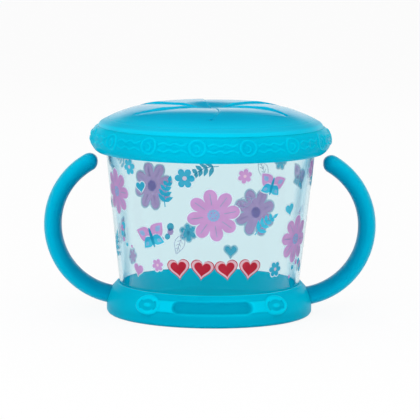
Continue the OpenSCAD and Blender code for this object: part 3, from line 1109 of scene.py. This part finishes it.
# Where each motif stands round the cup: degrees from the front, its height and size in
# millimetres, its turn in degrees, and its ink.
LAYOUT = {
    daisy: [(2, 49, 11.5, 10, "lilac"), (62, 36, 10.5, 40, "lilac"), (-66, 56, 10, 0, "lilac"),
            (150, 40, 11, 20, "lilac"), (-142, 52, 11, 35, "lilac")],
    butterfly: [(-36, 38, 9, 18, "lilac"), (36, 61, 8, -14, "lilac"), (112, 58, 8.5, 10, "lilac"),
                (-102, 34, 8.5, -12, "lilac")],
    sprig: [(-26, 52, 11, 68, "teal"), (27, 40, 11, 28, "aqua"), (86, 56, 12, 100, "teal"),
            (-80, 24, 12, 60, "aqua"), (175, 60, 12, -30, "teal"), (-120, 62, 11, 20, "aqua"),
            (122, 26, 11, 130, "teal")],
    blossom: [(-14, 65, 4.4, 0, "teal"), (19, 66, 3.2, 20, "lilac"), (-50, 68, 3.6, 10, "aqua"),
              (44, 24, 3.4, 0, "teal"), (-33, 26, 2.8, 15, "lilac"), (76, 66, 4.2, 10, "lilac"),
              (134, 64, 3.8, 0, "aqua"), (-166, 30, 4.2, 25, "teal"), (-118, 22, 3.6, 0, "lilac")],
    heart: [(-49, 23, 3, -12, "lilac"), (52, 50, 2.8, 14, "aqua"), (-42, 60, 2.6, 10, "teal"),
            (166, 22, 3.2, 0, "teal"), (-96, 62, 3, 8, "lilac")],
    bubbles: [(72, 20, 9, 40, "teal"), (-58, 40, 8, 150, "aqua"), (-84, 46, 9, 70, "teal"),
              (100, 40, 9, 20, "aqua"), (-150, 34, 9, 200, "teal")],
    outline_leaf: [(24, 56, 9, 200, "line"), (-16, 40, 9, 250, "line"), (96, 28, 11, 40, "line"),
                   (-108, 46, 11, 120, "line"), (144, 56, 10, 60, "line")],
}
HEART_ROW = 4  # plain red hearts near the foot of the cup
HEART_PITCH = 14.6  # degrees between them
HEART_TURN = 3  # degrees that the row's middle stands to the right
HEART_LEAN = 7  # degrees that each leans, by turns to the left and right
HEART_HEIGHT = 25.5
HEART_SIZE = 3.6


def make_print():
    """The printed design on the cup's wall."""
    design = Design()
    for motif, places in LAYOUT.items():
        for degrees, height, size, turn, ink_name in places:
            motif(design, (math.radians(degrees), height, math.radians(turn)), size, ink_name)
    for k in range(HEART_ROW):
        degrees = (k - (HEART_ROW - 1) / 2) * HEART_PITCH + HEART_TURN
        lean = -HEART_LEAN if k % 2 else HEART_LEAN
        where = (math.radians(degrees), HEART_HEIGHT, math.radians(lean))
        rimmed_heart(design, where, HEART_SIZE, "red")
    design.build()


# ---- stage

CAMERA_AWAY = 1.4
CAMERA_HEIGHT = 0.23
CAMERA_PITCH = math.radians(7.5)
CAMERA_ROLL = math.radians(0.54)
CAMERA_LENS = 274.3  # millimetres, as is the sensor
CAMERA_SENSOR = 36
FLOOR_HALF = 3
FLOOR_WHITE = 0.9  # share of white light in what is seen of the floor
LAMP_AIM = (0, 0, 0.05)
LAMPS = {  # place, width and watts
    "key": ((-0.12, -0.9, 0.42), 0.5, 3.8),
    "top": ((0, -0.1, 0.9), 0.6, 0.8),
    "back": ((0, 0.7, 0.6), 0.8, 0.8),
}
# The studio's greys, as stops (height of a direction, grey).
WORLD_LIGHT = ((0.15, 0.68), (0.8, 0.8))
WORLD_GLOSS = ((0.25, 1), (0.4, 0.03))


def area_light(name, spot, size, power):
    """A soft square light that gloss does not mirror."""
    lamp = bpy.data.lights.new(name, "AREA")
    lamp.size = size
    lamp.energy = power
    obj = bpy.data.objects.new(name, lamp)
    obj.location = spot
    obj.rotation_euler = (Vector(LAMP_AIM) - Vector(spot)).to_track_quat("-Z", "Y").to_euler()
    obj.visible_glossy = False
    bpy.context.collection.objects.link(obj)


def light_studio(tree):
    """A studio that looks white, is darker overhead in gloss and gives a plain soft light."""
    def by_height(stops):
        """A background whose grey runs with the height of the direction."""
        direction = add_node(tree, "TexCoord").outputs["Generated"]
        height = add_node(tree, "SeparateXYZ", direction).outputs["Z"]
        return add_node(tree, "Background", ramped(tree, height, stops)).outputs["Background"]

    white = tree.nodes["Background"]
    white.inputs["Color"].default_value = (1, 1, 1, 1)
    rays = add_node(tree, "LightPath").outputs
    surface = by_height(WORLD_LIGHT)
    for ray, seen in (("Is Glossy Ray", by_height(WORLD_GLOSS)),
                      ("Is Transmission Ray", white.outputs["Background"]),
                      ("Is Camera Ray", white.outputs["Background"])):
        surface = mixed_shader(tree, rays[ray], surface, seen)
    feed(tree, tree.nodes["World Output"].inputs["Surface"], surface)


def white_where_seen(tree):
    """Mixes white light into what is seen of the floor, which keeps a faint shadow."""
    rays = add_node(tree, "LightPath").outputs
    seen = rays["Is Camera Ray"]
    for ray in ("Is Transmission Ray", "Is Glossy Ray"):
        seen = calculate(tree, "MAXIMUM", seen, rays[ray])
    share = calculate(tree, "MULTIPLY", seen, FLOOR_WHITE)
    white = add_node(tree, "Emission").outputs["Emission"]
    show(tree, mixed_shader(tree, share, principled(tree).outputs["BSDF"], white))


def make_stage():
    """A white floor and backdrop, soft lights and the camera."""
    scene = bpy.context.scene
    scene.view_settings.view_transform = "Standard"
    world = bpy.data.worlds.new("studio")
    world.use_nodes = True
    light_studio(world.node_tree)
    scene.world = world

    white = shader("floor_white", Base_Color=(0.9, 0.9, 0.9, 1), Roughness=0.7, Specular_IOR_Level=0.1)
    white_where_seen(white.node_tree)
    corners = [(x * FLOOR_HALF, y * FLOOR_HALF, 0) for x, y in ((-1, -1), (1, -1), (1, 1), (-1, 1))]
    floor = add_mesh("floor", corners, [(0, 1, 2, 3)], white)

    for name, (spot, size, power) in LAMPS.items():
        area_light(name, spot, size, power)

    camera = bpy.data.cameras.new("camera")
    camera.lens = CAMERA_LENS
    camera.sensor_width = CAMERA_SENSOR
    holder = bpy.data.objects.new("camera", camera)
    holder.matrix_world = (Matrix.Translation((0, -CAMERA_AWAY, CAMERA_HEIGHT))
                           @ Matrix.Rotation(math.pi / 2 - CAMERA_PITCH, 4, "X")
                           @ Matrix.Rotation(CAMERA_ROLL, 4, "Z"))
    bpy.context.collection.objects.link(holder)
    scene.camera = holder


make_stage()
make_cup()
make_base()
make_handle("handle_left", -1)
make_handle("handle_right", 1)
make_lid_ring()
make_soft_top()
for number, flap in enumerate(FLAPS):
    make_flap(flap, number)
make_print()
